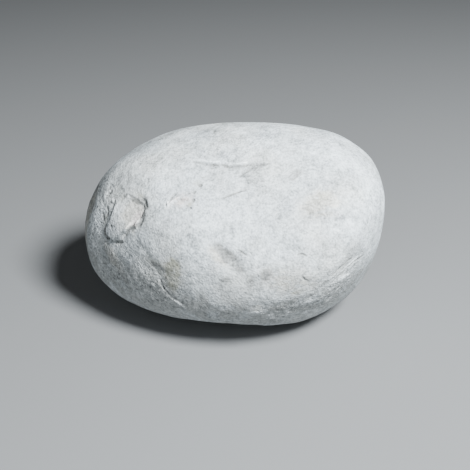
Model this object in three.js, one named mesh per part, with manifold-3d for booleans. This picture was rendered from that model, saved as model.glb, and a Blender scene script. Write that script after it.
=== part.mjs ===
// A garden boulder of white marble: a river-worn ovoid with a long, gently rounded top, a fuller and
// higher right end, a flake scar broken out of its left end and a flat patch that it rests on.
// Millimetres, +Z up, front towards -Y. The origin is on the ground under the middle of its box.

import * as THREE from "three";
import { mergeVertices } from "three/addons/utils/BufferGeometryUtils.js";
import Module from "manifold-3d";

// How far the worn form reaches from its middle.
const REACH = { left: 196, right: 209, front: 156, back: 137, top: 134, under: 131 };
const MIDDLE_HEIGHT = 119; // above the ground: the underside would reach lower, and is flat instead

// 2 is an ellipse and more is squarer: seen from above, and in profile over and under the middle.
const SQUARENESS = { plan: 2.6, over: 2.15, under: 2.6 };

// The right end stands higher and further forward than the left: rise and shift for each mm to the right.
const LEAN = { up: 0.196, back: -0.156 };

// Places on the boulder are an azimuth, 0 at the front and 90 at the right end, and a height angle
// above level, both seen from its middle, in degrees.

// Broad faces worn nearly flat, and how far each lies from the middle.
const WORN_FACES = [
  { azimuth: -39, height: 2, distance: 160 },
  { azimuth: 15.5, height: 46.5, distance: 128.7 },
  { azimuth: 95, height: 3, distance: 197 },
  { azimuth: 132, height: 69, distance: 152 },
  { azimuth: -99, height: -53, distance: 194 },
  { azimuth: -44, height: -36, distance: 173.5 },
  { azimuth: -21, height: -77.5, distance: 126 },
  { azimuth: 45, height: -23, distance: 150.5 },
];
const FACE_SHARPNESS = 8;

// Broad rises (+) and sinks (-) of the form: spread in degrees, rise in mm.
const SWELLS = [
  { azimuth: -79, height: -22, spread: 35, rise: 14.9 },
  { azimuth: 135, height: 55, spread: 28, rise: -3.6 },
  { azimuth: 0, height: -18, spread: 30, rise: -5.2 },
  { azimuth: -45, height: 5, spread: 30, rise: 8.9 },
  { azimuth: 45, height: 0, spread: 30, rise: 13.5 },
  { azimuth: -74, height: 38, spread: 20, rise: 9.9 },
  { azimuth: -30, height: 20, spread: 18, rise: 5 },
  { azimuth: 70, height: 10, spread: 20, rise: -3.1 },
  { azimuth: -28, height: -24, spread: 18, rise: -2.4 },
  { azimuth: 0, height: -30, spread: 18, rise: -1.9 },
  { azimuth: 28, height: -26, spread: 18, rise: -2.6 },
  { azimuth: 58, height: -16, spread: 18, rise: 1.6 },
  { azimuth: 0, height: -90, spread: 24, rise: 7 }, // the underside, fuller where it rests
];

// The flat face of the flake scar: its outline as [azimuth, height] points, the width of the wall along
// each side of it, the way it looks, how far it is sunk at its middle and how proud it may stand at most,
// along its lower left.
const SCAR = {
  outline: [
    [-58.8, 28.8], [-53.3, 28.5], [-48.3, 27.9], [-46.1, 24.7], [-45.9, 18.6], [-50.2, 13.7], [-54.4, 7.8],
    [-58.8, 6.3], [-63.8, 7.7], [-64.7, 10.8], [-62.6, 23.3],
  ],
  walls: [4, 5, 4, 4, 4, 4, 4, 5, 6, 6, 8],
  middle: { azimuth: -52.6, height: 22.8 },
  looks: { azimuth: -38, height: 31 },
  sink: 3.4,
  proud: 4,
};

// Steps in the surface, each along a route of [azimuth, height] points. The ground drops on the right
// of the route, over the width of the wall, and comes back up over the run.
const LEDGES = [
  // A broken edge where the back turns under the left end.
  {
    route: [[-152, -30], [-134, -24], [-116, -26], [-102, -34]],
    drop: 4, wall: 9, run: 34,
  },
  // A spall on the back.
  {
    route: [[118, 8], [134, 16], [150, 15], [163, 6]],
    drop: 4, wall: 7, run: 46,
  },
];

// Hollows and, where the depth is negative, bumps: long and wide in mm, turned from level in degrees.
const HOLLOWS = [
  { azimuth: -57, height: 10.3, long: 60, wide: 40, turn: 60, depth: -1.4 }, // the swell that the scar ends on
  { azimuth: -73.5, height: 4, long: 70, wide: 40, turn: 75, depth: -6 }, // the shoulder left of the scar
  { azimuth: -62.5, height: 2, long: 60, wide: 28, turn: -40, depth: -2.2 }, // the swell under the scar
  { azimuth: -77, height: 30, long: 60, wide: 48, turn: 60, depth: -3.4 }, // the shoulder above the scar
  { azimuth: -50, height: -8, long: 120, wide: 64, turn: -42, depth: -2.6 }, // the swell of the lower left
  { azimuth: 4, height: -20.5, long: 170, wide: 28, turn: 3, depth: -3.4 }, // the swell along the foot of the front
  { azimuth: -2.7, height: 9.5, long: 50, wide: 17, turn: -40, depth: 2.4 }, // the scoop in the front
  { azimuth: 18.6, height: -12.5, long: 70, wide: 26, turn: 0, depth: -1.4 },
  { azimuth: 20.8, height: -24.4, long: 40, wide: 18, turn: 8, depth: 2.4 },
  { azimuth: -36.2, height: 0.8, long: 34, wide: 18, turn: -35, depth: 1.6 },
  { azimuth: 48, height: -2.5, long: 60, wide: 30, turn: 35, depth: 3.2 }, // the cut at the right end
  { azimuth: -150, height: 22, long: 66, wide: 34, turn: 20, depth: 3.2 },
  { azimuth: 176, height: -14, long: 58, wide: 30, turn: -25, depth: 3 },
  { azimuth: 104, height: 26, long: 50, wide: 26, turn: 60, depth: 2 },
];

// Lumps all over, on grids of the given size, and the smaller ones of the rough parts.
const LUMPS = [{ size: 96, height: 1.8 }, { size: 47, height: 0.9 }];
const ROUGH_LUMPS = [{ size: 27, height: 1.2 }, { size: 15, height: 0.8 }];

// Where the skin is rough: the left end, its lower front, the foot of the front and a part of the back.
const ROUGH_PARTS = [
  { azimuth: -78, height: 12, spread: 52, share: 1 },
  { azimuth: -46, height: -16, spread: 58, share: 0.9 },
  { azimuth: 8, height: -34, spread: 62, share: 0.8 },
  { azimuth: 58, height: -20, spread: 50, share: 0.6 },
  { azimuth: 14, height: -8, spread: 70, share: 0.35 },
  { azimuth: 150, height: -10, spread: 80, share: 0.6 },
];

// The mesh: each edge of an icosahedron is split DETAIL + 1 times, and its points are crowded towards
// the scar by a share of the distance.
const DETAIL = 21;
const CROWDING = { azimuth: -62, height: 10, share: 0.3 };

const STONE_COLOUR = 0xdde1e2;
const STONE_ROUGHNESS = 0.9;

const FACING = 0.5; // the scar is cut only where the skin looks its way: the cosine of the angle between
const GROUND = { width: 1000, depth: 100 }; // the block that is cut away from under the boulder

const MIXERS = [374761393, 668265263, 1274126177, 1103515245]; // odd numbers that scatter grid values
const WORD = 2 ** 32;

const wasm = await Module();
wasm.setup();

function direction({ azimuth, height }) {
  const around = THREE.MathUtils.degToRad(azimuth);
  const up = THREE.MathUtils.degToRad(height);
  return new THREE.Vector3(
    Math.sin(around) * Math.cos(up),
    -Math.cos(around) * Math.cos(up),
    Math.sin(up),
  );
}

const smooth = (x) => THREE.MathUtils.smoothstep(x, 0, 1);

// The side of the squared ovoid that a direction points to: its reaches and its profile's squareness.
function sideOf(d) {
  return {
    along: d.x > 0 ? REACH.right : REACH.left,
    across: d.y > 0 ? REACH.back : REACH.front,
    upright: d.z > 0 ? REACH.top : REACH.under,
    profile: d.z > 0 ? SQUARENESS.over : SQUARENESS.under,
  };
}

const faces = WORN_FACES.map((face) => ({ normal: direction(face), distance: face.distance }));
const swells = SWELLS.map((swell) => ({ ...swell, towards: direction(swell) }));

// How far the worn form reaches from its middle in a direction, before it leans.
function reach(d) {
  const side = sideOf(d);
  const plan =
    (Math.abs(d.x) / side.along) ** SQUARENESS.plan + (Math.abs(d.y) / side.across) ** SQUARENESS.plan;
  const ovoid =
    plan ** (side.profile / SQUARENESS.plan) + (Math.abs(d.z) / side.upright) ** side.profile;
  let inverse = ovoid ** (FACE_SHARPNESS / side.profile);
  for (const face of faces) {
    inverse += (Math.max(0, d.dot(face.normal)) / face.distance) ** FACE_SHARPNESS;
  }
  let out = inverse ** (-1 / FACE_SHARPNESS);
  for (const swell of swells) {
    const apart = THREE.MathUtils.radToDeg(d.angleTo(swell.towards));
    out += swell.rise * Math.exp(-((apart / swell.spread) ** 2));
  }
  return out;
}

// The point of the leaning form in a direction.
function formPoint(d) {
  const p = d.clone().multiplyScalar(reach(d));
  p.z += LEAN.up * p.x * (1 + d.z) / 2 + MIDDLE_HEIGHT;
  p.y += LEAN.back * p.x;
  return p;
}

// The direction straight out of the form at a point, near enough for a relief of a few millimetres.
function outward(p) {
  return new THREE.Vector3(
    p.x / REACH.right ** 2,
    (p.y - LEAN.back * p.x) / REACH.front ** 2,
    (p.z - MIDDLE_HEIGHT) / REACH.top ** 2,
  ).normalize();
}

// A repeatable value from -1 to 1 for each point of a whole-number grid.
function gridValue(i, j, k) {
  let mix = Math.imul(i, MIXERS[0]) ^ Math.imul(j, MIXERS[1]) ^ Math.imul(k, MIXERS[2]);
  mix = Math.imul(mix ^ (mix >>> 13), MIXERS[3]);
  mix = Math.imul(mix ^ (mix >>> 16), MIXERS[0]);
  return (2 * ((mix ^ (mix >>> 15)) >>> 0)) / WORD - 1;
}

// Grid values run smoothly into each other: lumps of about the given size, from -1 to 1.
function lumps(p, size) {
  const cell = p.clone().divideScalar(size);
  const low = cell.clone().floor();
  const [u, v, w] = cell.sub(low).toArray().map(smooth);
  let sum = 0;
  for (const [i, x] of [[0, 1 - u], [1, u]]) {
    for (const [j, y] of [[0, 1 - v], [1, v]]) {
      for (const [k, z] of [[0, 1 - w], [1, w]]) {
        sum += x * y * z * gridValue(low.x + i, low.y + j, low.z + k);
      }
    }
  }
  return sum;
}

const lumpHeight = (p, sizes) => sizes.reduce((sum, { size, height }) => sum + height * lumps(p, size), 0);

// The route of a ledge as straight pieces on the form, each with its start along the whole route.
function routeOf(ledge) {
  const points = ledge.route.map(([azimuth, height]) => formPoint(direction({ azimuth, height })));
  let length = 0;
  const pieces = points.slice(1).map((end, i) => {
    const piece = { start: points[i], step: end.clone().sub(points[i]), from: length };
    length += piece.step.length();
    return piece;
  });
  return { ...ledge, pieces, length };
}

// How far a point lies from a route, to its right, and how far along the route.
function besideRoute(p, out, route) {
  let nearest = { distance: Infinity };
  for (const { start, step, from } of route.pieces) {
    const away = p.clone().sub(start);
    const share = THREE.MathUtils.clamp(away.dot(step) / step.lengthSq(), 0, 1);
    const right = step.clone().cross(out).dot(away);
    away.addScaledVector(step, -share);
    const distance = away.length();
    if (distance < nearest.distance) {
      nearest = { distance, side: Math.sign(right), along: (from + share * step.length()) / route.length };
    }
  }
  return { right: nearest.side * nearest.distance, along: nearest.along };
}

const ledges = LEDGES.map(routeOf);
const hollows = HOLLOWS.map((hollow) => {
  const towards = direction(hollow);
  const middle = formPoint(towards);
  const out = outward(middle);
  const level = new THREE.Vector3(0, 0, 1).cross(out).normalize();
  const along = level.applyAxisAngle(out, THREE.MathUtils.degToRad(hollow.turn));
  return { ...hollow, middle, along, across: out.cross(along) };
});
const roughParts = ROUGH_PARTS.map((part) => ({ ...part, middle: formPoint(direction(part)) }));

const scarLooks = direction(SCAR.looks);
const scarMiddle = formPoint(direction(SCAR.middle));
const scarCorners = SCAR.outline.map(([azimuth, height]) => formPoint(direction({ azimuth, height })));

// How far a point of the form lies within the scar, from 0 at its outline to 1 inside its wall.
function withinScar(p, out) {
  if (out.dot(scarLooks) < FACING) return 0;
  const shares = scarCorners.map((corner, i) => {
    const edge = scarCorners[(i + 1) % scarCorners.length].clone().sub(corner);
    return edge.cross(scarLooks).normalize().dot(p.clone().sub(corner)) / SCAR.walls[i];
  });
  return smooth(Math.min(...shares));
}

// How far the scar's face stands above a point of the form.
function scarHeight(p, out) {
  const flat = scarMiddle.clone().sub(p).dot(scarLooks) / out.dot(scarLooks) - SCAR.sink;
  return flat > 0 ? SCAR.proud * Math.tanh(flat / SCAR.proud) : flat;
}

// A ledge's drop at a point: it dies out at both ends of the route and over its run.
function ledgeDrop(p, out, ledge) {
  const { right, along } = besideRoute(p, out, ledge);
  if (right < 0) return 0;
  const wall = smooth(right / ledge.wall);
  const run = 1 - smooth(right / ledge.run);
  return ledge.drop * Math.sin(Math.PI * along) ** 0.5 * wall * run;
}

function hollowDepth(p, hollow) {
  const away = p.clone().sub(hollow.middle);
  const long = away.dot(hollow.along) / (hollow.long / 2);
  const wide = away.dot(hollow.across) / (hollow.wide / 2);
  const deep = away.lengthSq() < hollow.long ** 2 ? Math.exp(-(long ** 2) - wide ** 2) : 0;
  return hollow.depth * deep;
}

function roughness(p) {
  const shares = roughParts.map(
    ({ middle, spread, share }) => share * Math.exp(-p.distanceToSquared(middle) / spread ** 2),
  );
  return Math.min(1, shares.reduce((sum, share) => sum + share, 0));
}

// How far the skin stands above the form at a point.
function relief(p, out) {
  let height = lumpHeight(p, LUMPS) + roughness(p) * lumpHeight(p, ROUGH_LUMPS);
  for (const ledge of ledges) height -= ledgeDrop(p, out, ledge);
  for (const hollow of hollows) height -= hollowDepth(p, hollow);
  const within = withinScar(p, out);
  return within > 0 ? THREE.MathUtils.lerp(height, scarHeight(p, out), within) : height;
}

// The whole skin: even points on a sphere, crowded towards the scar, go out to the form and get its relief.
function skinGeometry() {
  const sphere = plainGeometry(new THREE.IcosahedronGeometry(1, DETAIL));
  const points = sphere.getAttribute("position");
  const crowd = direction(CROWDING).multiplyScalar(CROWDING.share);
  for (let i = 0; i < points.count; i++) {
    const d = new THREE.Vector3().fromBufferAttribute(points, i).add(crowd).normalize();
    const p = formPoint(d);
    const out = outward(p);
    p.addScaledVector(out, relief(p, out));
    points.setXYZ(i, p.x, p.y, p.z);
  }
  return sphere;
}

function plainGeometry(geometry) {
  geometry.deleteAttribute("normal");
  geometry.deleteAttribute("uv");
  return mergeVertices(geometry);
}

function solidOf(geometry) {
  return new wasm.Manifold(new wasm.Mesh({
    numProp: 3,
    vertProperties: geometry.getAttribute("position").array,
    triVerts: new Uint32Array(geometry.index.array),
  }));
}

// The skin, cut level at the ground so that the boulder has its flat patch to rest on.
function boulderGeometry() {
  const ground = new THREE.BoxGeometry(GROUND.width, GROUND.width, GROUND.depth);
  ground.translate(0, 0, -GROUND.depth / 2);
  const cut = solidOf(skinGeometry()).subtract(solidOf(plainGeometry(ground))).getMesh();
  const geometry = new THREE.BufferGeometry();
  geometry.setAttribute("position", new THREE.BufferAttribute(cut.vertProperties, cut.numProp));
  geometry.setIndex(new THREE.BufferAttribute(cut.triVerts, 1));
  geometry.computeBoundingBox();
  const middle = geometry.boundingBox.getCenter(new THREE.Vector3());
  geometry.translate(-middle.x, -middle.y, 0);
  geometry.computeVertexNormals();
  return geometry;
}

function boulder() {
  const stone = new THREE.MeshStandardMaterial({
    color: STONE_COLOUR,
    roughness: STONE_ROUGHNESS,
    metalness: 0,
  });
  const mesh = new THREE.Mesh(boulderGeometry(), stone);
  mesh.name = "boulder";
  return mesh;
}

const part = new THREE.Group();
part.add(boulder());

export default part;
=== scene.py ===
"""A garden boulder of white marble on a plain studio floor.

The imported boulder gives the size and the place; this script gives the stone its skin. The shape is
worked out in millimetres, with places on it given as an azimuth, 0 at the front (-Y) and 90 at the
right end (+X), and a height angle above level, both seen from the boulder's middle, in degrees.
"""

import math
from typing import NamedTuple

import bmesh
import bpy
import numpy as np
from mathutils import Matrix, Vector


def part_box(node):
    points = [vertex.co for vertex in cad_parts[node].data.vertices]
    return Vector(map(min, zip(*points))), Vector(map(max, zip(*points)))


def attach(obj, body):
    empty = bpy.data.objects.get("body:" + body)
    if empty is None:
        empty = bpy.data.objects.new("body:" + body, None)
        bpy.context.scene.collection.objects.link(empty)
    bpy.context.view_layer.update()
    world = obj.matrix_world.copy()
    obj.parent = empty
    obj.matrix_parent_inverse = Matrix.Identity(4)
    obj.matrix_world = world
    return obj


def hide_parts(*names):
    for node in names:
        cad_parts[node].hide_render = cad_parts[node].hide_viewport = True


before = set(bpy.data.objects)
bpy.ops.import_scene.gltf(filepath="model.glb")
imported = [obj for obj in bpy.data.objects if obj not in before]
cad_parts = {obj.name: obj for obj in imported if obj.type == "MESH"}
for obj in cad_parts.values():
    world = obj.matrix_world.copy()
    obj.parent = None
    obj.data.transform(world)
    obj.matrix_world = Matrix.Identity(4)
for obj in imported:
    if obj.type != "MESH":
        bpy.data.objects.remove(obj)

bl_info = {
    "name": "Garden boulder",
    "version": (1, 0, 0),
    "blender": (4, 5, 0),
    "location": "3D View > Sidebar > Boulder",
    "description": "Adds a worn white marble boulder and a studio to look at it in",
    "category": "Add Mesh",
}

MILLIMETRES = 1000.0  # in a metre
NODE = "boulder"
LOW, HIGH = (np.array(corner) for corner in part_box(NODE))
LENGTH, DEPTH, HEIGHT = (HIGH - LOW) * MILLIMETRES

# ---------------------------------------------------------------------------
# The worn form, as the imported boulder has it
# ---------------------------------------------------------------------------

REACH = {  # from the middle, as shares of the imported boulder's size
    "left": 0.5084 * LENGTH, "right": 0.5422 * LENGTH,
    "front": 0.5217 * DEPTH, "back": 0.4582 * DEPTH,
    "top": 0.5352 * HEIGHT, "under": 0.5232 * HEIGHT,
}
MIDDLE_HEIGHT = 0.4753 * HEIGHT
SQUARENESS = {"plan": 2.6, "over": 2.15, "under": 2.6}
LEAN_UP, LEAN_BACK = 0.196, -0.156  # rise and shift for each millimetre to the right
FACE_SHARPNESS = 8  # how sharply the worn faces meet the rounder form


class Face(NamedTuple):
    """A broad face worn nearly flat, and how far it lies from the middle."""
    azimuth: float
    height: float
    distance: float


class Swell(NamedTuple):
    """A broad rise of the form, or a sink if the rise is negative: its spread is in degrees."""
    azimuth: float
    height: float
    spread: float
    rise: float


class Facet(NamedTuple):
    """A flat broken face inside an outline: the way it looks, how far it is sunk and may stand proud,
    and the width of the wall along each side of the outline.
    """
    outline: tuple
    middle: tuple
    looks: tuple
    sink: float
    proud: float
    walls: tuple


class Ledge(NamedTuple):
    """A step along a route: the ground drops on its right over the wall and comes back over the run."""
    route: tuple
    drop: float
    wall: float
    run: float


class Groove(NamedTuple):
    """A crack or cut along a route, or a ridge if the depth is negative."""
    route: tuple
    width: float
    depth: float


class Hollow(NamedTuple):
    """An oval hollow, or a bump if the depth is negative. Its length is turned from level, in degrees."""
    azimuth: float
    height: float
    long: float
    wide: float
    turn: float
    depth: float


class Part(NamedTuple):
    """A round part of the skin: how wide it spreads, and how strong an effect is there."""
    azimuth: float
    height: float
    spread: float
    share: float


class Cap(NamedTuple):
    """A round part of the sphere that the skin starts as, out to a spread in degrees."""
    azimuth: float
    height: float
    spread: float


class Stain(NamedTuple):
    """An oval stain: its length is turned from level, in degrees."""
    azimuth: float
    height: float
    long: float
    wide: float
    turn: float
    strength: float


WORN_FACES = (
    Face(-39, 2, 160), Face(15.5, 46.5, 128.7), Face(95, 3, 197), Face(132, 69, 152),
    Face(-99, -53, 194), Face(-44, -36, 173.5), Face(-21, -77.5, 126), Face(45, -23, 150.5),
)
SWELLS = (
    Swell(-79, -22, 35, 14.9), Swell(135, 55, 28, -3.6), Swell(0, -18, 30, -5.2),
    Swell(-45, 5, 30, 8.9), Swell(45, 0, 30, 13.5), Swell(-74, 38, 20, 9.9), Swell(-30, 20, 18, 5),
    Swell(70, 10, 20, -3.1), Swell(-28, -24, 18, -2.4), Swell(0, -30, 18, -1.9),
    Swell(28, -26, 18, -2.6), Swell(58, -16, 18, 1.6), Swell(0, -90, 24, 7),
)

# ---------------------------------------------------------------------------
# The coarse relief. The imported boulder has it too, but with lumps of its own, twice as high, wider walls
# at the right of the scar and one long swell along the foot. The lower right of its scar and its scoop
# lie a degree or so away.
# ---------------------------------------------------------------------------

SCAR = Facet(
    outline=((-58.8, 28.8), (-53.3, 28.5), (-48.3, 27.9), (-46.1, 24.7), (-46.8, 18.4), (-51.6, 14.2),
             (-55.6, 8.3), (-58.8, 6.3), (-63.8, 7.7), (-64.7, 10.8), (-62.6, 23.3)),
    middle=(-52.6, 22.8), looks=(-38, 31), sink=3.4, proud=4, walls=(4, 5, 2, 2, 2, 3, 4, 5, 6, 6, 8),
)
FACING = 0.5  # the scar is cut only where the skin looks its way: the cosine of the angle between
LEDGES = (
    Ledge(((-152, -30), (-134, -24), (-116, -26), (-102, -34)), 4, 9, 34),  # where the back turns under
    Ledge(((118, 8), (134, 16), (150, 15), (163, 6)), 4, 7, 46),  # a spall on the back
)
HOLLOWS = (
    Hollow(-57, 10.3, 60, 40, 60, -1.4),  # the swell that the scar ends on
    Hollow(-73.5, 4, 70, 40, 75, -6),  # the shoulder left of the scar
    Hollow(-62.5, 2, 60, 28, -40, -2.2),  # the swell under the scar
    Hollow(-77, 30, 60, 48, 60, -3.4),  # the shoulder above the scar
    Hollow(-50, -8, 120, 64, -42, -2.6),  # the swell of the lower left
    # The swells along the foot.
    Hollow(-13, -17, 74, 38, 10, -1.8),
    Hollow(13, -22, 58, 30, -8, -2.2),
    Hollow(35, -21, 56, 30, 16, -1.6),
    Hollow(5, -14, 26, 16, 30, -0.9),
    Hollow(24, -24, 24, 15, -20, -1.1),
    Hollow(44, -16, 26, 14, 25, -1),
    Hollow(-22, -23, 26, 16, 20, -1),
    # The scoop in the front, and the swells and sinks around it.
    Hollow(-3.6, 9, 44, 16, -40, 2.6),
    Hollow(18.6, -12.5, 70, 26, 0, -1.4),
    Hollow(20.8, -24.4, 40, 18, 8, 2.4),
    Hollow(-36.2, 0.8, 34, 18, -35, 1.6),
    Hollow(48, -2.5, 60, 30, 35, 3.2),  # the cut at the right end
    # The scoops of the back, and the one above the right end.
    Hollow(-150, 22, 66, 34, 20, 3.2),
    Hollow(176, -14, 58, 30, -25, 3),
    Hollow(104, 26, 50, 26, 60, 2),
)
LUMPS = ((96, 1.8), (47, 0.9))  # grid size and height, as for all the lumps below
ROUGH_LUMPS = ((27, 1.2), (15, 0.8))
ROUGH_PARTS = (
    Part(-78, 12, 52, 1), Part(-46, -16, 58, 0.9), Part(8, -34, 62, 0.8), Part(58, -20, 50, 0.6),
    Part(14, -8, 70, 0.35), Part(150, -10, 80, 0.6),
)

# ---------------------------------------------------------------------------
# The finer skin, which only this script gives
# ---------------------------------------------------------------------------

FINE_LEDGES = (
    Ledge(((-45.2, 51.1), (-30.6, 55.3), (-12.6, 56.9), (13.4, 58.4), (34.4, 53.2)), 0.9, 1.8, 14),
    Ledge(((-16.3, 38), (-4.3, 41.9), (5.3, 44.9), (14.6, 48)), 0.5, 1.6, 10),
)
GROOVES = (
    # The notch and the edges of the scar, with lips and dots on its plate.
    Groove(((-50.2, 28.6), (-48.1, 28.2), (-46.9, 26.8), (-46.6, 25)), 5.6, 3.8),
    Groove(((-58.5, 27.2), (-54.5, 27.4), (-50.5, 26.8)), 3, -1.2),
    Groove(((-51.2, 19), (-51.9, 15.8), (-53.6, 12.2)), 4, -1.5),
    Groove(((-61, 13.8), (-60, 12.6)), 2.4, 1.5),
    Groove(((-58.2, 8.2), (-56.8, 7.6)), 2.8, 1.8),
    Groove(((-61.9, 8.7), (-60.8, 7.6)), 2.8, 1.8),
    Groove(((-46.7, 24), (-46, 22.5), (-46.1, 20.7), (-46.6, 18.7), (-47.7, 16.6)), 4.4, 2.4),
    Groove(((-48.3, 16.9), (-51.2, 14.5), (-52.9, 12.3), (-54.4, 9.6)), 4.4, 2.2),
    Groove(((-47.7, 21.2), (-47.8, 19.7), (-49.4, 17.8)), 3, -1.8),
    Groove(((-62.6, 23.3), (-63.6, 21.2), (-62.5, 19.8), (-62.9, 17.6), (-62.8, 15.6), (-63.3, 13.6)),
           3.6, 3),
    Groove(((-63.3, 13.6), (-64.1, 11.8), (-65.1, 10.3), (-64.1, 8.5), (-62.7, 7.3), (-60.9, 7.1)),
           5.5, 3.4),
    Groove(((-60.9, 7.1), (-58.9, 6.8), (-55.7, 7.8), (-53.7, 9)), 4, 2.4),
    Groove(((-60.2, 25.1), (-58.9, 28.5)), 3, 0.9),
    # The ridges and cracks left of the scar.
    Groove(((-65.7, 23.1), (-63.4, 22)), 3, -1.4),
    Groove(((-68.1, 16.2), (-67.5, 14.4), (-66.5, 12.9)), 3, 1.4),
    Groove(((-68.8, 24.8), (-69.3, 22.7)), 3, 1.1),
    Groove(((-71.7, 21.2), (-70.4, 23.7), (-69.7, 25.7)), 4, -1.3),
    Groove(((-69.7, 21.5), (-68.7, 24.2), (-68.1, 25.9)), 3, 1.3),
    Groove(((-67.1, 19.6), (-66.1, 18.1), (-65.2, 15.8)), 3, 1.3),
    # The dark crack at the lower left, and the bright ridge that it ends in.
    Groove(((-35.9, -4.7), (-35.2, -7.9), (-34.4, -9.5), (-33.4, -11.7), (-32.1, -13.6)), 2.6, 2.6),
    Groove(((-32.4, -15.2), (-30, -17), (-26.6, -20.7)), 2.6, -1.4),
    Groove(((-32.2, -13.4), (-29.2, -15.8), (-25.4, -19.2)), 3, 1),
    # The wavy line across the top, with its bright lip, and two finer lines under it.
    Groove(((-41.6, 53.7), (-36.8, 54.7), (-32, 55), (-24.5, 56), (-17.3, 57.1)), 2.4, 1.7),
    Groove(((-41.6, 55.2), (-36.8, 56.2), (-32, 56.5), (-24.5, 57.6), (-17.3, 58.7)), 2.8, -1.6),
    Groove(((-18.5, 57.3), (-10.8, 56.5), (-2.6, 57), (4.5, 56.9), (11.8, 57)), 2.6, 1.9),
    Groove(((-18.5, 58.9), (-10.8, 58.1), (-2.6, 58.6), (4.5, 58.5), (11.8, 58.6)), 2.8, -1.8),
    Groove(((10.5, 57.3), (18, 55.9), (25.8, 55), (31.3, 54.8)), 2.2, 1.5),
    Groove(((-1.4, 49.5), (4.5, 52.1), (9.2, 53.8), (15.2, 54.4)), 2, 1.3),
    Groove(((-14.4, 36.1), (-10.5, 37), (-4.6, 39.4), (1.5, 41.3), (7.5, 41.8)), 2, 1.2),
    # The small nick with raised edges, and the dots and dashes around it.
    Groove(((-36.8, 29.1), (-35.6, 31.7), (-33.8, 34.2)), 2.4, -2.6),
    Groove(((-38.2, 31.2), (-37, 29.6), (-36.2, 28.6)), 2, -1.8),
    Groove(((-37.2, 31.6), (-37.3, 34), (-35.8, 35.9)), 2.2, 1.4),
    Groove(((-26.3, 29.8), (-25.7, 30.7)), 2.8, 2.4),
    Groove(((-26.5, 33.4), (-25.8, 35)), 2.6, 2),
    Groove(((-27.4, 36.8), (-27.2, 38.6)), 2.4, 1.5),
    Groove(((-27, 41.4), (-25.6, 43.4)), 3.4, 1.9),
    Groove(((-28, 46.8), (-25.6, 47.5)), 2, 1),
    # A scratch on the top.
    Groove(((-102.3, 75.8), (-58.8, 75.3)), 2.4, 1.2),
    # The two curved nicks.
    Groove(((24.9, 7.5), (26, 7.9), (27.1, 7.6), (28.4, 6.4)), 1.8, 1.8),
    Groove(((26.7, -1.6), (28.1, -3), (30, -4.3)), 1.8, 1.9),
    # The scratches in the scoop.
    Groove(((-1.6, 12.3), (0, 11.5), (2, 10.2), (3.9, 8.9)), 1.8, 1.1),
    Groove(((4.6, 10.8), (5.9, 8.9)), 1.8, 1),
    # The streaks of the right end.
    Groove(((43.6, -9.6), (47.3, -7.7), (50.3, -4.6), (54.4, -3), (60.8, -3.2)), 3.2, 2.4),
    Groove(((40.9, -6), (44.6, -4), (48.9, -1.8), (51.5, -0.4)), 2.8, 2),
    Groove(((46.2, -6.6), (49.6, -4.1), (53.2, -2.2), (58.5, -1.6)), 2.4, -1.4),
    Groove(((47.1, -10.3), (49.4, -9), (54.5, -8.7)), 4.4, -2.1),
    # The bumps and pits along the foot, and a bump by the dark crack.
    Groove(((47, -25), (52, -22.8)), 10, -1.4),
    Groove(((29.5, -18.6), (35.5, -17.4)), 8, -1),
    Groove(((12.5, -25.3), (18, -25.2)), 8, -1.2),
    Groove(((7.5, -20.5), (11, -20)), 3, -0.9),
    Groove(((8.5, -22.8), (12, -22.4)), 2.6, -0.8),
    Groove(((36, -21.4), (40.5, -19.8)), 4, 1.8),
    Groove(((18, -21.8), (22, -21)), 4, 2),
    Groove(((-41, -7.5), (-38.8, -9)), 5, -1.2),
    # The scratches at the upper right and by the crest.
    Groove(((34.6, 41.2), (37.8, 42.8), (40.7, 43.4)), 1.8, 0.8),
    Groove(((36.7, 39.6), (41.3, 40.6), (45.2, 41.7)), 1.8, 0.8),
    Groove(((45.3, 57.6), (52.1, 55.5), (58.2, 52.5)), 2, 0.8),
    Groove(((-48.1, 57.7), (-43.5, 58.4), (-39.5, 59.3)), 2, 0.7),
)
ROUGH_SKIN = (
    Part(-80, 12, 44, 1), Part(-60, -4, 40, 0.9), Part(-40, -13, 34, 0.9), Part(-16, -30, 30, 0.8),
    Part(20, -32, 32, 0.9), Part(52, -16, 34, 0.7), Part(-110, -12, 60, 0.7),
    Part(-53, 23, 17, -0.8), Part(150, -10, 80, 0.45), Part(-170, -40, 80, 0.35),
    Part(26, -21, 22, 0.8), Part(45, -20, 20, 0.8),
)

# The finest lumps, and the parts of the skin that have them.
WRINKLED_PARTS = (
    Part(-54, -4, 48, 0.8), Part(-34, -12, 40, 0.8), Part(0, -30, 40, 0.5), Part(40, -18, 40, 0.5),
    Part(-100, 0, 60, 0.7), Part(165, -5, 70, 0.5), Part(-53, 23, 17, -0.8),
)
WRINKLE_GRAIN = (0.6, -0.3, -0.74)  # the way that wrinkles run, down to the right
STREAKED_PARTS = (Part(54, -5, 24, 1), Part(-70, 32, 32, 0.8))
STREAK_GRAIN = (0.62, 0.42, 0.66)  # the way that streaks run, up to the right
WRINKLES = ((8.5, 1.5), (4.6, 0.9))
STRETCH = 2.4  # how much longer than wide wrinkles and streaks are
UNEVENNESS = ((19, 0.9),)  # all over
GRIT = ((9, 0.45), (4.6, 0.3))  # all over, but higher in some patches
ROUGH_GRIT = ((11, 1.1), (5.4, 1.5))  # in the rough parts
KNOBS = ((17, 0.9), (8, 0.7))  # in the rough parts: lumps turned over
KNOB_FOOT = 0.35  # how much of a knob's height is sunk in the skin
PATCH_SIZE = 34
PATCH_LEAST = 0.3  # how high the grit is in the smoothest patches, against the roughest
PITS = ((24, 3.2, 0.9), (12, 1.9, 0.6))  # grid size, radius and depth of scattered pits
PIT_SPREAD = 0.75  # the widest pit's radius, against the one given
PIT_VARIETY = 0.5  # how much less the narrowest pit's radius is, against the same
SMOOTH_SHARE = 0.25  # how deep pits are on the smooth skin, against the rough
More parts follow.
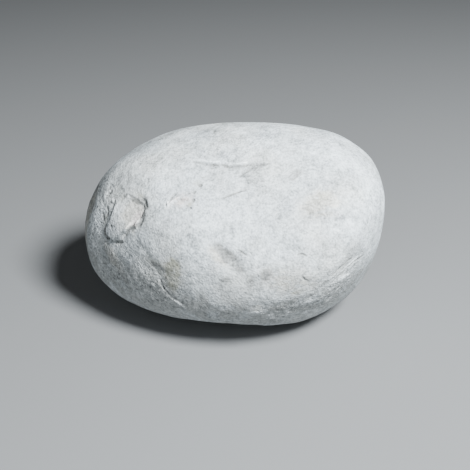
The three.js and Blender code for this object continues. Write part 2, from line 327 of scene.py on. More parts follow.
WANDERS = ((13, 2.2), (5.5, 1.2))  # the grid size and reach of the raggedness of edges and cracks
WANDER_SEEDS = ((310, 0, 0), (0, 310, 0), (0, 0, 310))

# What the finish reads from each point of the skin.
CREVICE_DEPTH = 1.6  # how deep the skin has the most dirt and painted shade, and how high it has the brightest painted highlight
CRACK_DEPTH = 1.1  # how deep a crack has the most dirt and painted shade, and how high the lip beside it has the brightest painted highlight
FOOT = (0.12, -0.5)  # the skin takes soil and painted shade where it faces down: none at the first slope, all at the second
STAINS = {  # by the tint of the finish that they take
    "cream": (
        Stain(44, 25, 50, 34, 10, 1),
        Stain(22.3, -3.6, 90, 40, -10, 0.6),
        Stain(-51.6, 22, 44, 34, 70, 1),
        Stain(-8.5, 9.5, 30, 14, -40, 1),
        Stain(-30, 0, 60, 40, 70, 0.7),
        Stain(-59.3, -0.7, 60, 26, -50, 0.6),
        Stain(-84.3, 8.4, 90, 50, 80, 1),
        Stain(150, 20, 120, 70, 15, 0.6),
        Stain(9, -17.5, 16, 12, 0, 1),
    ),
    "rose": (
        Stain(-31.9, 33.4, 34, 22, 30, 0.6),
        Stain(-49.1, 21.1, 24, 14, 60, 0.8),
        Stain(12.5, -0.2, 18, 12, 60, 0.6),
        Stain(110, -6, 60, 34, 40, 0.35),
    ),
    "moss": (
        Stain(-27.3, 6.4, 22, 16, 60, 0.3),
        Stain(-28.7, 1, 28, 17, 80, 1.4),
        Stain(-29.6, -6.6, 20, 12, 80, 1.2),
        Stain(-36.2, 2, 44, 22, -30, 0.35),
        Stain(-33.5, 33.7, 16, 11, 40, 0.4),
        Stain(-27.6, 44.3, 20, 11, 20, 0.3),
        Stain(-26.5, 32.8, 12, 8, 60, 0.5),
        Stain(46.1, 27.7, 30, 18, 10, 0.35),
        Stain(25.6, -9.3, 20, 12, 10, 0.6),
        Stain(-66, 15, 26, 12, 70, 0.4),
        Stain(-60, 26.5, 14, 6, 55, 0.5),
        Stain(-51, 30.5, 18, 7, -20, 0.5),
        Stain(172, -20, 90, 40, -8, 0.5),
        Stain(-3.2, 7.4, 34, 9, -42, 0.5),
    ),
    # grey stains; the two dark spots by the moss, at -37.8 and -34, are painted shadow of pits
    "shadow": (
        Stain(42.2, 42.5, 28, 15, 20, 0.55),
        Stain(41.6, 50.2, 34, 14, 10, 0.25),
        Stain(1.9, 47.5, 24, 9, 15, 0.3),
        Stain(35.1, 25.3, 14, 9, 20, 0.35),
        Stain(-62.5, 34.3, 34, 14, 45, 0.3),
        Stain(-37.8, 2.7, 13, 8, 10, 1),
        Stain(-34, 1.5, 12, 7, -20, 0.9),
        Stain(-3.9, 8.7, 40, 13, -42, 1.5),
        Stain(1.3, 11.8, 22, 7, -42, 0.4),
        Stain(-5.8, -1.5, 16, 10, 20, 0.8),
        Stain(5.9, -2.7, 15, 11, 60, 1),
        Stain(12, 0.3, 16, 12, 60, 0.9),
        Stain(-38.6, -2.7, 12, 9, 0, 0.7),
        Stain(-3.8, -22.1, 26, 16, 0, 1.1),
        Stain(-22, -19, 28, 15, -10, 0.9),
        Stain(19, -18.9, 34, 16, 5, 0.8),
        Stain(33, -13.5, 30, 12, 15, 0.45),
        Stain(39.4, -7.5, 18, 10, 30, 0.6),
        Stain(-140, 6, 70, 40, 25, 0.3),
    ),
}

# The mesh: a cube of quads is blown up to a sphere, its points are crowded towards the front, and its
# quads are cut once more where the finest cracks are.
CUTS = 108  # across each face of the cube
CROWD_PLACE = (-12, 14)
CROWDING = 0.28  # how far points move towards that place, against the sphere's radius
FINE_CAPS = (
    Cap(-60, 18, 16), Cap(-33, -7, 13), Cap(28, 2, 7), Cap(0, 10, 7), Cap(48, -5, 9),
    Cap(-38, 55, 5), Cap(-22, 56, 5), Cap(-6, 56, 5), Cap(10, 55, 6), Cap(25, 55, 5),
    Cap(-3, 39, 8), Cap(-35, 32, 4), Cap(-27, 38, 8), Cap(40, 42, 5),
)

NEAR, FAR = 90.0, 1000.0  # a point this far past a stretch of a route counts as this far from it
OVAL_END = 2.0  # an oval hollow or stain has faded out this many lengths from its middle
PIT_SEEDS = (0, 17, 43, 71)  # grid offsets that give a pit's place and size
MIXERS = (374761393, 668265263, 1274126177, 1103515245)  # odd numbers that scatter grid values
SHIFTS = (13, 16, 15, 1)  # in bits: three down, for the same, and one up, which drops the top bit
WORD = 2.0 ** 32


def direction(azimuth, height):
    """The unit vector from the boulder's middle towards a place."""
    around, up = math.radians(azimuth), math.radians(height)
    return np.array((math.sin(around) * math.cos(up), -math.cos(around) * math.cos(up), math.sin(up)))


def smooth(x):
    """A smooth step from 0 to 1 as x goes from 0 to 1."""
    x = np.clip(x, 0, 1)
    return x * x * (3 - 2 * x)


def unit(vectors):
    """The same vectors, each of length 1."""
    return vectors / np.linalg.norm(vectors, axis=-1, keepdims=True)


def reach(d):
    """How far the worn form reaches from its middle in each direction, before it leans."""
    along = np.where(d[:, 0] > 0, REACH["right"], REACH["left"])
    across = np.where(d[:, 1] > 0, REACH["back"], REACH["front"])
    upright = np.where(d[:, 2] > 0, REACH["top"], REACH["under"])
    profile = np.where(d[:, 2] > 0, SQUARENESS["over"], SQUARENESS["under"])
    plan = (abs(d[:, 0]) / along) ** SQUARENESS["plan"] + (abs(d[:, 1]) / across) ** SQUARENESS["plan"]
    ovoid = plan ** (profile / SQUARENESS["plan"]) + (abs(d[:, 2]) / upright) ** profile
    inverse = ovoid ** (FACE_SHARPNESS / profile)
    for face in WORN_FACES:
        facing = np.maximum(0, d @ direction(face.azimuth, face.height))
        inverse += (facing / face.distance) ** FACE_SHARPNESS
    out = inverse ** (-1 / FACE_SHARPNESS)
    for swell in SWELLS:
        facing = d @ direction(swell.azimuth, swell.height)
        apart = np.degrees(np.arccos(np.clip(facing, -1, 1)))
        out += swell.rise * np.exp(-((apart / swell.spread) ** 2))
    return out


def form_points(d):
    """The points of the form in each direction, leaning more the higher they are."""
    p = d * reach(d)[:, None]
    p[:, 2] += LEAN_UP * p[:, 0] * (1 + d[:, 2]) / 2 + MIDDLE_HEIGHT
    p[:, 1] += LEAN_BACK * p[:, 0]
    return p


def outward(p):
    """The directions straight out of the form, near enough for a relief of a few millimetres."""
    upright = np.stack((p[:, 0], p[:, 1] - LEAN_BACK * p[:, 0], p[:, 2] - MIDDLE_HEIGHT), axis=1)
    return unit(upright / np.array((REACH["right"], REACH["front"], REACH["top"])) ** 2)


def place(azimuth, height):
    """A place as a point of the form."""
    return form_points(direction(azimuth, height)[None])[0]


def grid_values(i, j, k):
    """A repeatable value from -1 to 0 for each point of a whole-number grid."""
    i, j, k = (part.astype(np.int64).astype(np.uint32) for part in (i, j, k))
    mixers = [np.uint32(mixer) for mixer in MIXERS]
    mix = (i * mixers[0]) ^ (j * mixers[1]) ^ (k * mixers[2])
    first, second, third, up = (np.uint32(shift) for shift in SHIFTS)
    mix = (mix ^ (mix >> first)) * mixers[3]
    mix = (mix ^ (mix >> second)) * mixers[0]
    return ((mix ^ (mix >> third)) << up) / WORD - 1


def lumps(p, size):
    """Grid values that run smoothly into each other: lumps of about the given size.

    They are nearly 0 on the highest tops and nearly -1 in the deepest places between.
    """
    cell = p / size
    low = np.floor(cell)
    u, v, w = smooth(cell - low).T
    x, y, z = low.T
    total = np.zeros(len(p))
    for i, across in ((0, 1 - u), (1, u)):
        for j, along in ((0, 1 - v), (1, v)):
            for k, upright in ((0, 1 - w), (1, w)):
                total += across * along * upright * grid_values(x + i, y + j, z + k)
    return total


def lump_height(p, sizes):
    """The height of lumps of several sizes together, down from 0 at the highest tops."""
    return sum(height * lumps(p, size) for size, height in sizes)


def along_skin(vectors, out):
    """The same vectors without what they have straight out of the form."""
    return vectors - np.einsum("ij,ij->i", vectors, out)[:, None] * out


def beside(p, out, route):
    """How far each point lies from a route, to its right if positive, and how far along it: 0 to 1."""
    corners = np.array([place(*corner) for corner in route])
    steps = np.diff(corners, axis=0)
    lengths = np.linalg.norm(steps, axis=1)
    starts = np.concatenate(((0,), np.cumsum(lengths)))
    nearest = np.full(len(p), FAR)
    side = np.ones(len(p))
    along = np.zeros(len(p))
    for corner, step, length, start in zip(corners, steps, lengths, starts):
        away = p - corner
        share = np.clip(away @ step / length**2, 0, 1)
        right = np.einsum("ij,ij->i", np.cross(step, out), away)
        distance = np.linalg.norm(along_skin(away - share[:, None] * step, out), axis=1)
        distance = np.where(np.linalg.norm(away, axis=1) < length + NEAR, distance, FAR)
        closer = distance < nearest
        nearest = np.where(closer, distance, nearest)
        side = np.where(closer, np.sign(right), side)
        along = np.where(closer, (start + share * length) / starts[-1], along)
    return side * nearest, along


def facet_share(ragged, out, facet):
    """Which points lie within a broken face, from 0 at its outline to 1 inside its wall."""
    looks = direction(*facet.looks)
    corners = np.array([place(*corner) for corner in facet.outline])
    share = np.where(out @ looks > FACING, 1.0, 0.0)
    for corner, after, wall in zip(corners, np.roll(corners, -1, axis=0), facet.walls):
        share = np.minimum(share, (ragged - corner) @ unit(np.cross(after - corner, looks)) / wall)
    return smooth(share)


def facet_height(p, out, facet):
    """How far a broken face stands above the form."""
    looks = direction(*facet.looks)
    flat = (place(*facet.middle) - p) @ looks / (out @ looks).clip(FACING) - facet.sink
    return np.where(flat > 0, facet.proud * np.tanh(flat / facet.proud), flat)


def ends_fade(along):
    """A factor that is 1 in the middle of a route and falls to nothing at both ends."""
    return np.sqrt(np.sin(math.pi * along).clip(0))


def ledge_drop(p, out, ledge):
    """How far the ground lies below the form beside a ledge."""
    right, along = beside(p, out, ledge.route)
    drop = ledge.drop * ends_fade(along) * smooth(right / ledge.wall) * (1 - smooth(right / ledge.run))
    return np.where(right < 0, 0, drop)


def groove_depth(p, out, groove):
    """How deep a groove is at each point."""
    right, along = beside(p, out, groove.route)
    return groove.depth * ends_fade(along) * np.exp(-((right / (groove.width / 2)) ** 2))


def oval(p, spot):
    """How near each point is to the middle of an oval hollow or stain, from 0 to 1."""
    middle = place(spot.azimuth, spot.height)
    out = outward(middle[None])[0]
    level = unit(np.cross((0, 0, 1), out))
    turn = math.radians(spot.turn)
    along = math.cos(turn) * level + math.sin(turn) * np.cross(out, level)
    away = p - middle
    long = away @ along / (spot.long / 2)
    wide = away @ np.cross(out, along) / (spot.wide / 2)
    near = np.einsum("ij,ij->i", away, away) < (OVAL_END * spot.long) ** 2
    return np.where(near, np.exp(-(long**2) - wide**2), 0)


def share_of(p, parts):
    """How strongly each point belongs to some parts of the skin, up to 1."""
    total = np.zeros(len(p))
    for part in parts:
        away = p - place(part.azimuth, part.height)
        total += part.share * np.exp(-np.einsum("ij,ij->i", away, away) / part.spread**2)
    return total.clip(0, 1)


def wandering(p, out):
    """The points moved by varying amounts, so that what is measured from them comes out ragged."""
    away = np.stack([lump_height(p + np.array(seed), WANDERS) for seed in WANDER_SEEDS], axis=1)
    return p + along_skin(away, out)


def coarse_relief(p, ragged, out):
    """How high the lumps, ledges, hollows and scar stand above the form."""
    height = lump_height(p, LUMPS) + share_of(p, ROUGH_PARTS) * lump_height(p, ROUGH_LUMPS)
    height -= sum(ledge_drop(ragged, out, ledge) for ledge in LEDGES)
    height -= sum(hollow.depth * oval(p, hollow) for hollow in HOLLOWS)
    within = facet_share(ragged, out, SCAR)
    return height + within * (facet_height(p, out, SCAR) - height)


def stretched(p, grain):
    """The same points, drawn together along a grain so that lumps over them come out long."""
    grain = unit(np.array(grain))
    return p - (1 - 1 / STRETCH) * (p @ grain)[:, None] * grain


def scattered_pits(p, size, radius):
    """Round pits, one somewhere in each cell of a grid, from 0 to 1 deep."""
    low = np.floor(p / size)
    deepest = np.zeros(len(p))
    for step in np.ndindex(3, 3, 3):
        cell = (low + step - 1).T
        jitter = [grid_values(*(cell + offset)) for offset in PIT_SEEDS]
        middle = (cell + 0.5 + np.array(jitter[:3]) / 2).T * size
        spread = radius * (PIT_SPREAD + PIT_VARIETY * jitter[3])
        apart = np.linalg.norm(p - middle, axis=1)
        deepest = np.maximum(deepest, np.exp(-((apart / spread) ** 2)))
    return deepest


def fine_relief(p, ragged, out):
    """How high the lumps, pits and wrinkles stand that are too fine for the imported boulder."""
    # The lower half of these lumps is the smoothest patches, and their tops are the roughest.
    patchy = PATCH_LEAST + (1 - PATCH_LEAST) * 2 * smooth(lumps(p, PATCH_SIZE) + 0.5)
    rough = share_of(p, ROUGH_SKIN)
    height = lump_height(p, UNEVENNESS) + patchy * lump_height(p, GRIT)
    height += rough * patchy * lump_height(p, ROUGH_GRIT)
    height += rough * sum(rise * (-lumps(p, size) - KNOB_FOOT) for size, rise in KNOBS)
    height += share_of(p, WRINKLED_PARTS) * lump_height(stretched(p, WRINKLE_GRAIN), WRINKLES)
    height += share_of(p, STREAKED_PARTS) * lump_height(stretched(p, STREAK_GRAIN), WRINKLES)
    deep = SMOOTH_SHARE + (1 - SMOOTH_SHARE) * rough
    height -= deep * sum(depth * scattered_pits(p, size, radius) for size, radius, depth in PITS)
    height -= sum(ledge_drop(ragged, out, ledge) for ledge in FINE_LEDGES)
    return height


def sphere_of_quads(cuts):
    """A unit sphere of near-equal quads, crowded towards the front and cut finer in some parts."""
    bm = bmesh.new()
    bmesh.ops.create_cube(bm, size=2)
    bmesh.ops.subdivide_edges(bm, edges=bm.edges[:], cuts=cuts, use_grid_fill=True)
    crowd = Vector(CROWDING * direction(*CROWD_PLACE))
    for vertex in bm.verts:
        even = Vector([math.tan(value * math.pi / 4) for value in vertex.co])
        vertex.co = (even.normalized() + crowd).normalized()
    for cap in FINE_CAPS:
        towards = Vector(direction(cap.azimuth, cap.height))
        least = math.cos(math.radians(cap.spread))
        edges = [
            edge for edge in bm.edges
            if (edge.verts[0].co + edge.verts[1].co).normalized().dot(towards) > least
        ]
        bmesh.ops.subdivide_edges(bm, edges=edges, cuts=1, use_grid_fill=True)
    for vertex in bm.verts:
        vertex.co.normalize()
    bmesh.ops.triangulate(bm, faces=[f for f in bm.faces if len(f.verts) > 4])
    bmesh.ops.recalc_face_normals(bm, faces=bm.faces[:])
    return bm


def kept_values(p, out, fine, cracks):
    """What the finish reads from each point of the skin, by name, from 0 to 1."""
    values = {
        # dirt and painted shade in the hollows of the fine relief
        "crevice": -fine / CREVICE_DEPTH,
        # a painted highlight on the tops of the fine relief
        "crest": fine / CREVICE_DEPTH,
        # dirt and painted shade down in the cracks
        "crack": cracks / CRACK_DEPTH,
        # a painted highlight on the lips beside cracks
        "lip": -cracks / CRACK_DEPTH,
        "rough": share_of(p, ROUGH_SKIN),
        # soil and painted shade where the skin faces down
        "foot": smooth((FOOT[0] - out[:, 2]) / (FOOT[0] - FOOT[1])),
    }
    for tint, stains in STAINS.items():
        values[tint] = sum(stain.strength * oval(p, stain) for stain in stains)
    return {name: value.clip(0, 1) for name, value in values.items()}


def skin(settings):
    """The finished skin as a mesh in metres, with attributes that its finish reads."""
    bm = sphere_of_quads(settings.cuts)
    mesh = bpy.data.meshes.new(NODE + "_skin")
    bm.to_mesh(mesh)
    bm.free()
    d = np.empty(len(mesh.vertices) * 3)
    mesh.vertices.foreach_get("co", d)
    d = d.reshape(-1, 3)
    p = form_points(d)
    out = outward(p)
    ragged = wandering(p, out)
    cracks = sum(groove_depth(ragged, out, groove) for groove in GROOVES)
    fine = fine_relief(p, ragged, out) - cracks
    p += (coarse_relief(p, ragged, out) + settings.relief * fine)[:, None] * out
    p[:, 2] = p[:, 2].clip(0)
    for name, value in kept_values(p, out, fine, cracks).items():
        mesh.attributes.new(name, "FLOAT", "POINT").data.foreach_set("value", value)
    fit(p, settings)
    mesh.vertices.foreach_set("co", p.ravel())
    mesh.shade_smooth()
    mesh.update()
    return mesh


def fit(p, settings):
    """Move and scale the points, in place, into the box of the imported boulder, in metres."""
    low, high = p.min(axis=0), p.max(axis=0)
    size = np.array((settings.length, settings.depth, settings.height))
    middle = (LOW + HIGH) / 2
    middle[2] = LOW[2] + size[2] / 2
    p -= (low + high) / 2
    p *= size / (high - low)
    p += middle


# ---------------------------------------------------------------------------
# Finish
# ---------------------------------------------------------------------------

MIX_FACTOR, MIX_FROM, MIX_TO, MIX_RESULT = 0, 6, 7, 2  # a Mix node's sockets when it mixes colours


class Shade:
    """A socket of a material's node tree. Sums, differences and products of shades add Math nodes."""

    def __init__(self, tree, socket=None):
        self.tree, self.socket = tree, socket

    def node(self, kind, settings=None, values=None, output=0):
        """Add any node: its settings are made first, then its sockets get values or links."""
        node = self.tree.nodes.new(kind)
        for name, value in (settings or {}).items():
            setattr(node, name, value)
        for name, value in (values or {}).items():
            if isinstance(value, Shade):
                self.tree.links.new(value.socket, node.inputs[name])
            else:
                node.inputs[name].default_value = value
        return Shade(self.tree, node.outputs[output] if node.outputs else None)

    def maths(self, operation, *values):
        """Add a Math node, whose sockets take the values in order."""
        return self.node("ShaderNodeMath", {"operation": operation}, dict(enumerate(values)))

    def __add__(self, other):
        return self.maths("ADD", self, other)

    def __sub__(self, other):
        return self.maths("SUBTRACT", self, other)

    def __mul__(self, other):
        return self.maths("MULTIPLY", self, other)

    def __rsub__(self, other):
        return self.maths("SUBTRACT", other, self)

    __radd__, __rmul__ = __add__, __mul__

    def between(self, low, high):
        """A smooth step from 0 at one value of this shade to 1 at another."""
        values = {"Value": self, "From Min": low, "From Max": high}
        return self.node("ShaderNodeMapRange", {"interpolation_type": "SMOOTHSTEP"}, values)

    def tinted(self, tint, amount):
        """This colour mixed towards a tint."""
        values = {MIX_FACTOR: amount, MIX_FROM: self, MIX_TO: (*tint, 1)}
        return self.node("ShaderNodeMix", {"data_type": "RGBA"}, values, output=MIX_RESULT)

    def times(self, amount):
        """This colour made brighter or darker."""
        return self.node("ShaderNodeVectorMath", {"operation": "SCALE"}, {0: self, "Scale": amount})

    def noise(self, size, detail):
        """Noise from 0 to 1 over these coordinates, in lumps of a size in metres."""
        values = {"Vector": self, "Scale": 1 / size, "Detail": detail}
        return self.node("ShaderNodeTexNoise", None, values)

    def stretched(self, turn, scale):
        """These coordinates turned, and then squeezed so that what is drawn over them comes out long."""
        return self.node("ShaderNodeMapping", None, {"Vector": self, "Rotation": turn, "Scale": scale})

    def attribute(self, name):
        """A value that the skin keeps for each vertex."""
        return self.node("ShaderNodeAttribute", {"attribute_name": name}, output="Fac")


class Level(NamedTuple):
    """What a noise adds to an effect: nothing up to its low value, the whole amount from its high one."""
    noise: str
    low: float
    high: float
    amount: float


NOISES = {  # the size of the lumps in metres, and how much detail they have
    "clouds": (0.07, 3), "drift": (0.028, 1), "mottle": (0.012, 2), "speckle": (0.0055, 2),
    "grain": (0.0024, 2),
}
STREAKS = (0.006, 3)  # the same for one more noise, which is drawn out long
STREAK_TURN = (0.0, 0.6, 0.0)  # in radians, before the squeeze
STREAK_STRETCH = (0.35, 1.0, 1.0)
NOISE_MIDDLE = 0.5

# How strong each effect is anywhere, and what levels of noise add to it.
CREAM_CLOUDS = (0, Level("clouds", 0.42, 0.75, 0.5))
STAINED = (0.5, Level("mottle", 0.3, 0.6, 0.55), Level("streaks", 0.35, 0.6, 0.55))
# soil and painted shade where the skin faces down
SOILED_AND_SHADED = (0.2, Level("drift", 0.4, 0.56, 0.5), Level("mottle", 0.42, 0.57, 0.5))
# dirt and painted shade in the cracks
CRACK_DIRT_AND_SHADE = (0.25, Level("mottle", 0.35, 0.6, 0.6))
ROUGH_DIRT = (0, Level("mottle", 0.5, 0.75, 0.1))
# a painted highlight on the lips beside cracks
LIP_HIGHLIGHT = (0, Level("streaks", 0.3, 0.55, 0.35))

STAIN_EDGE = (0.08, 0.95)  # the strengths at which a stain starts to show and is at its fullest
LIP_SPARED = 0.3  # how much less soil and painted shade a lip takes
CREVICE_DIRT_AND_SHADE = 0.42  # how far dirt and painted shade cover a crevice
CREST_HIGHLIGHT = 0.12  # painted highlight: how much lighter a crest is painted
# How far each noise lights the stone, and how much further where it is rough.
TONES = {"drift": 0.8, "mottle": 0.9, "speckle": 0.95, "grain": 1.5}
ROUGH_TONES = {"speckle": 0.4, "grain": 0.3, "mottle": -0.4, "drift": -0.4}
DARK_MARKS = (  # what draws them, and where they lie
    (Level("streaks", 0.58, 0.72, 0.2), Level("clouds", 0.4, 0.55, 1)),
    (Level("grain", 0.63, 0.74, 0.25), Level("mottle", 0.45, 0.6, 1)),
)
BUMPS = {"speckle": 0.003, "grain": 0.0022}  # their heights in metres
BUMP_SHARES = (0.35, 1.4)  # how high they are on smooth skin, and how much is added on rough
POLISH = 0.06  # how far the mottle makes the stone less rough
SPECULAR = 0.35


def level_of(noise, level):
    """What a level of noise adds, from place to place."""
    return noise[level.noise].between(level.low, level.high) * level.amount


def broken_up(noise, least, *levels):
    """How strong an effect is from place to place, where noise breaks it up."""
    return sum((level_of(noise, level) for level in levels), least)


def contrast(noise, tones):
    """How far several noises together light the stone, or darken it if negative."""
    return sum((noise[name] - NOISE_MIDDLE) * share for name, share in tones.items())


def marble_colour(shade, noise, kept, finish):
    """The marble's colour: stained, with soil and painted shade where it faces down, and dirt and painted
    shade in crevices and cracks.
    """
    colour = shade.node("ShaderNodeRGB")
    colour.socket.default_value = (*finish.stone, 1)
    colour = colour.tinted(finish.cream, broken_up(noise, *CREAM_CLOUDS))
    for tint in STAINS:
        stain = shade.attribute(tint) * broken_up(noise, *STAINED)
        colour = colour.tinted(getattr(finish, tint), stain.between(*STAIN_EDGE))
    # soil and painted shade where the skin faces down, less on lips
    soil_and_shade = kept["foot"] * broken_up(noise, *SOILED_AND_SHADED) * (1 - LIP_SPARED * kept["lip"])
    colour = colour.tinted(finish.soil_and_shade, soil_and_shade)
    # dirt and painted shade in crevices and cracks, and dirt in rough parts
    dirt_and_shade = kept["crevice"] * CREVICE_DIRT_AND_SHADE
    dirt_and_shade += kept["crack"] * broken_up(noise, *CRACK_DIRT_AND_SHADE)
    dirt_and_shade += kept["rough"] * broken_up(noise, *ROUGH_DIRT)
    return colour.tinted(finish.shadow, dirt_and_shade)


def marble_tone(noise, kept):
    """How light the marble is against its colour: sugary grain, painted highlights on crests and lips, and
    small dark marks.
    """
    tone = 1 + contrast(noise, TONES) + kept["rough"] * contrast(noise, ROUGH_TONES)
    # painted highlights on crests and on the lips beside cracks
    tone += kept["crest"] * CREST_HIGHLIGHT + kept["lip"] * broken_up(noise, *LIP_HIGHLIGHT)
    for marks, places in DARK_MARKS:
        tone -= level_of(noise, marks) * level_of(noise, places)
    return tone


def marble(finish):
    """White marble, weathered: mottled, stained, darker in its crevices, with a fine sugary grain."""
    material = bpy.data.materials.new("marble")
    material.use_nodes = True
    tree = material.node_tree
    tree.nodes.clear()
    shade = Shade(tree)
    at = shade.node("ShaderNodeTexCoord", output="Object")
    noise = {name: at.noise(size, detail) for name, (size, detail) in NOISES.items()}
    noise["streaks"] = at.stretched(STREAK_TURN, STREAK_STRETCH).noise(*STREAKS)
    kept = {name: shade.attribute(name) for name in ("rough", "crevice", "crack", "lip", "crest", "foot")}
    least, added = BUMP_SHARES
    height = sum(noise[name] * rise for name, rise in BUMPS.items()) * (least + added * kept["rough"])
    bump = shade.node("ShaderNodeBump", None, {"Strength": 1.0, "Distance": 1.0, "Height": height})
    surface = shade.node("ShaderNodeBsdfPrincipled", None, {
        "Base Color": marble_colour(shade, noise, kept, finish).times(marble_tone(noise, kept)),
        "Roughness": finish.roughness - POLISH * noise["mottle"],
        "Specular IOR Level": SPECULAR,
        "Normal": bump,
    })
    shade.node("ShaderNodeOutputMaterial", None, {"Surface": surface})
    return material


def plain(name, colour, roughness):
    """A plain matt material for the floor."""
    material = bpy.data.materials.new(name)
    material.use_nodes = True
    surface = material.node_tree.nodes["Principled BSDF"]
    surface.inputs["Base Color"].default_value = (*colour, 1)
    surface.inputs["Roughness"].default_value = roughness
    return material


# ---------------------------------------------------------------------------
# Studio
# ---------------------------------------------------------------------------

FLOOR_REACH = 8.0  # metres from the boulder to the floor's edges
FLOOR_ROUGHNESS = 0.9
SKY_COLOUR = (0.95, 0.975, 1.0)


class Lamp(NamedTuple):
    """A round soft light: the way to it from the boulder, and its share of the main light's power."""
    name: str
    towards: tuple
    distance: float
    width: float
    share: float
    colour: tuple


LAMPS = (
    Lamp("key", (0.43, -0.53, 0.76), 2.4, 0.7, 1, (0.94, 0.98, 1.0)),
    Lamp("front", (-0.2, -0.9, 0.4), 2.4, 1.2, 0.05, (0.9, 0.95, 1.0)),
)


# ---------------------------------------------------------------------------
# Settings, operators and panel
# ---------------------------------------------------------------------------


class BoulderSize(bpy.types.PropertyGroup):
    """The size of the boulder and the fineness of its skin."""

    length: bpy.props.FloatProperty(
        name="Length", description="From the left end to the right",
        default=LENGTH / MILLIMETRES, min=0.05, unit="LENGTH")
    depth: bpy.props.FloatProperty(
        name="Depth", description="From the front to the back",
        default=DEPTH / MILLIMETRES, min=0.05, unit="LENGTH")
    height: bpy.props.FloatProperty(
        name="Height", description="From the ground to the crest",
        default=HEIGHT / MILLIMETRES, min=0.05, unit="LENGTH")
    relief: bpy.props.FloatProperty(
        name="Fine relief", description="How deep cracks, pits and wrinkles are, against the real ones",
        default=1.0, min=0, max=2, subtype="FACTOR")
    cuts: bpy.props.IntProperty(
        name="Cuts", description="Cuts across each side of the cube that the skin starts as",
        default=CUTS, min=8, max=120)


class MarbleFinish(bpy.types.PropertyGroup):
    """The colours of the marble and how matt it is."""

    stone: bpy.props.FloatVectorProperty(
        name="Stone", description="The clean marble", default=(0.729, 0.795, 0.833),
        subtype="COLOR", min=0, max=1)
    cream: bpy.props.FloatVectorProperty(
        name="Cream", description="Warm weathered patches", default=(0.74, 0.735, 0.68),
        subtype="COLOR", min=0, max=1)
    rose: bpy.props.FloatVectorProperty(
        name="Rose", description="Faint pink patches", default=(0.76, 0.70, 0.68),
        subtype="COLOR", min=0, max=1)
    moss: bpy.props.FloatVectorProperty(
        name="Moss", description="Green-brown stains", default=(0.40, 0.40, 0.32),
        subtype="COLOR", min=0, max=1)
    # this grey also paints the shade in crevices and cracks, and the grey stains, some of them painted
    # shadow
    shadow: bpy.props.FloatVectorProperty(
        name="Grey", description="Dirt in crevices and rough patches", default=(0.33, 0.34, 0.335),
        subtype="COLOR", min=0, max=1)
    # soil and painted shade on the skin that faces down
    soil_and_shade: bpy.props.FloatVectorProperty(
        name="Soil", description="Dust and damp on the underside", default=(0.352, 0.369, 0.366),
        subtype="COLOR", min=0, max=1)
    roughness: bpy.props.FloatProperty(
        name="Roughness", description="How matt the stone is", default=0.86, min=0, max=1,
        subtype="FACTOR")


class Studio(bpy.types.PropertyGroup):
    """The floor, lights and camera."""

    floor_colour: bpy.props.FloatVectorProperty(
        name="Floor", description="The plain floor", default=(0.25, 0.255, 0.26), subtype="COLOR",
        min=0, max=1)
    light_power: bpy.props.FloatProperty(
        name="Lights", description="Power of the soft main light", default=185, min=0, unit="POWER")
    sky: bpy.props.FloatProperty(
        name="Sky", description="Strength of the light from all around", default=0.06, min=0)
    lens: bpy.props.FloatProperty(
        name="Lens", description="Focal length in millimetres", default=76.6, min=10, unit="CAMERA")
    elevation: bpy.props.FloatProperty(
        name="Elevation", description="How far the camera looks down", default=math.radians(25.5),
        subtype="ANGLE")
    distance: bpy.props.FloatProperty(
        name="Distance", description="From the camera to what it looks at", default=1.2895, min=0.2,
        unit="LENGTH")
    look_at: bpy.props.FloatVectorProperty(
        name="Looks at", description="The point in the middle of the picture",
        default=(0.0065, 0, 0.106), subtype="XYZ", unit="LENGTH")


def aim(thing, towards):
    """Turn a camera or light so that it looks along a direction."""
    thing.rotation_euler = Vector(towards).to_track_quat("-Z", "Y").to_euler()


class AddBoulder(bpy.types.Operator):
    """Add the boulder with its marble finish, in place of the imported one"""

    bl_idname = "mesh.add_garden_boulder"
    bl_label = "Garden Boulder"

    def execute(self, context):
        boulder = bpy.data.objects.new("boulder_skin", skin(context.scene.boulder_size))
        boulder.data.materials.append(marble(context.scene.marble_finish))
        context.scene.collection.objects.link(boulder)
        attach(boulder, "root")
        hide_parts(NODE)
        return {"FINISHED"}


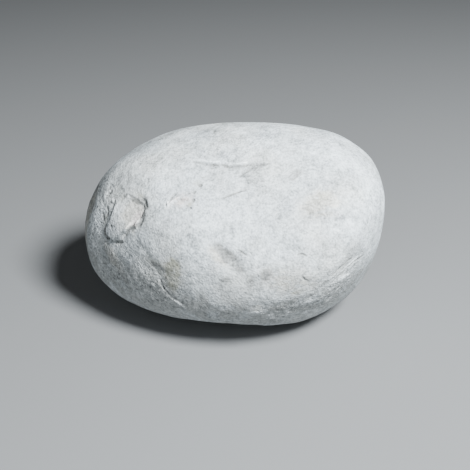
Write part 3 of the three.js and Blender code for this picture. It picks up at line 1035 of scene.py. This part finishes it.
class AddStudio(bpy.types.Operator):
    """Add a plain floor, two soft lights, a faint sky and a camera"""

    bl_idname = "scene.add_boulder_studio"
    bl_label = "Boulder Studio"

    def execute(self, context):
        studio = context.scene.boulder_studio
        self.add_floor(context, studio)
        self.add_lights(context, studio)
        self.add_camera(context, studio)
        return {"FINISHED"}

    def add_floor(self, context, studio):
        """Lay the floor, wide enough to fill the view."""
        bm = bmesh.new()
        bmesh.ops.create_grid(bm, size=FLOOR_REACH)
        mesh = bpy.data.meshes.new("floor")
        bm.to_mesh(mesh)
        bm.free()
        mesh.materials.append(plain("floor_paper", studio.floor_colour, FLOOR_ROUGHNESS))
        floor = bpy.data.objects.new("floor", mesh)
        context.scene.collection.objects.link(floor)

    def add_lights(self, context, studio):
        """Add the lamps, which look at what the camera looks at, and the sky."""
        for lamp in LAMPS:
            data = bpy.data.lights.new(lamp.name, "AREA")
            data.shape = "DISK"
            data.size = lamp.width
            data.energy = lamp.share * studio.light_power
            data.color = lamp.colour
            light = bpy.data.objects.new(lamp.name, data)
            towards = Vector(lamp.towards).normalized()
            light.location = towards * lamp.distance + Vector(studio.look_at)
            aim(light, -towards)
            context.scene.collection.objects.link(light)
        world = bpy.data.worlds.new("fill")
        world.use_nodes = True
        background = world.node_tree.nodes["Background"]
        background.inputs["Color"].default_value = (*SKY_COLOUR, 1)
        background.inputs["Strength"].default_value = studio.sky
        context.scene.world = world

    def add_camera(self, context, studio):
        """Add the camera in front of the boulder, looking down at it."""
        data = bpy.data.cameras.new("camera")
        data.lens = studio.lens
        camera = bpy.data.objects.new("camera", data)
        forward = Vector((0, math.cos(studio.elevation), -math.sin(studio.elevation)))
        camera.location = Vector(studio.look_at) - studio.distance * forward
        aim(camera, forward)
        context.scene.collection.objects.link(camera)
        context.scene.camera = camera


class BoulderPanel(bpy.types.Panel):
    """The boulder's settings and buttons."""

    bl_idname = "VIEW3D_PT_garden_boulder"
    bl_label = "Garden Boulder"
    bl_space_type = "VIEW_3D"
    bl_region_type = "UI"
    bl_category = "Boulder"

    def draw(self, context):
        for group, operator in (
            ("boulder_size", None), ("marble_finish", AddBoulder), ("boulder_studio", AddStudio),
        ):
            settings = getattr(context.scene, group)
            for name in settings.__annotations__:
                self.layout.prop(settings, name)
            if operator:
                self.layout.operator(operator.bl_idname)


GROUPS = {"boulder_size": BoulderSize, "marble_finish": MarbleFinish, "boulder_studio": Studio}
CLASSES = (*GROUPS.values(), AddBoulder, AddStudio, BoulderPanel)


def register():
    """Add the settings, operators and panel to Blender."""
    for cls in CLASSES:
        bpy.utils.register_class(cls)
    for name, group in GROUPS.items():
        setattr(bpy.types.Scene, name, bpy.props.PointerProperty(type=group))


def unregister():
    """Take them out again."""
    for name in GROUPS:
        delattr(bpy.types.Scene, name)
    for cls in reversed(CLASSES):
        bpy.utils.unregister_class(cls)


def main():
    """Make the boulder and its studio."""
    register()
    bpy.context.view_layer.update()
    bpy.ops.mesh.add_garden_boulder()
    bpy.ops.scene.add_boulder_studio()


if __name__ == "__main__":
    main()
